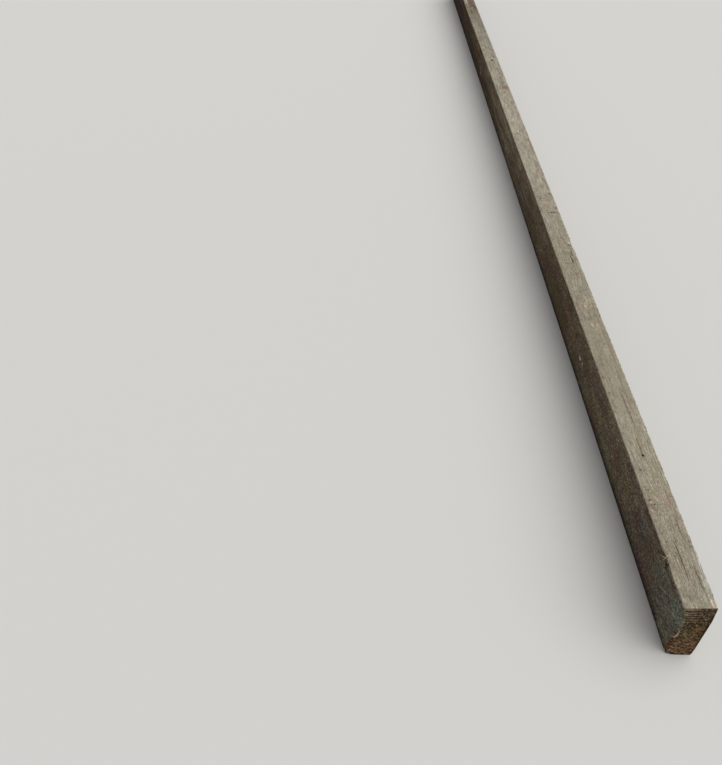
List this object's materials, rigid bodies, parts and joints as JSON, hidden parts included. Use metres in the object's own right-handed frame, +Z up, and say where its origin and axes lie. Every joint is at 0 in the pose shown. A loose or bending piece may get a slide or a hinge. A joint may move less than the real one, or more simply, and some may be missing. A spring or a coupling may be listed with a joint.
{
  "type": "timber beam",
  "caption": "Long rough-sawn softwood beam of rectangular section, weathered grey-brown, with rounded arrises, drying checks, a nail hole and a worn end. It lies on its narrow edge.",
  "frame": {"origin": "centre of the underside's rectangle, on the level that the beam rests on: the bottom centre of the bounding box", "axes": "+Y along the beam from its worn end to its square end, +X across its narrow edge to the right seen from the worn end, +Z up"},
  "size_m": [0.068, 5.4, 0.173],
  "materials": {
    "weathered_softwood": "rough sawn, weathered, uncoated"
  },
  "bodies": {
    "root": {"timber_beam": "weathered_softwood"}
  },
  "joints": []
}
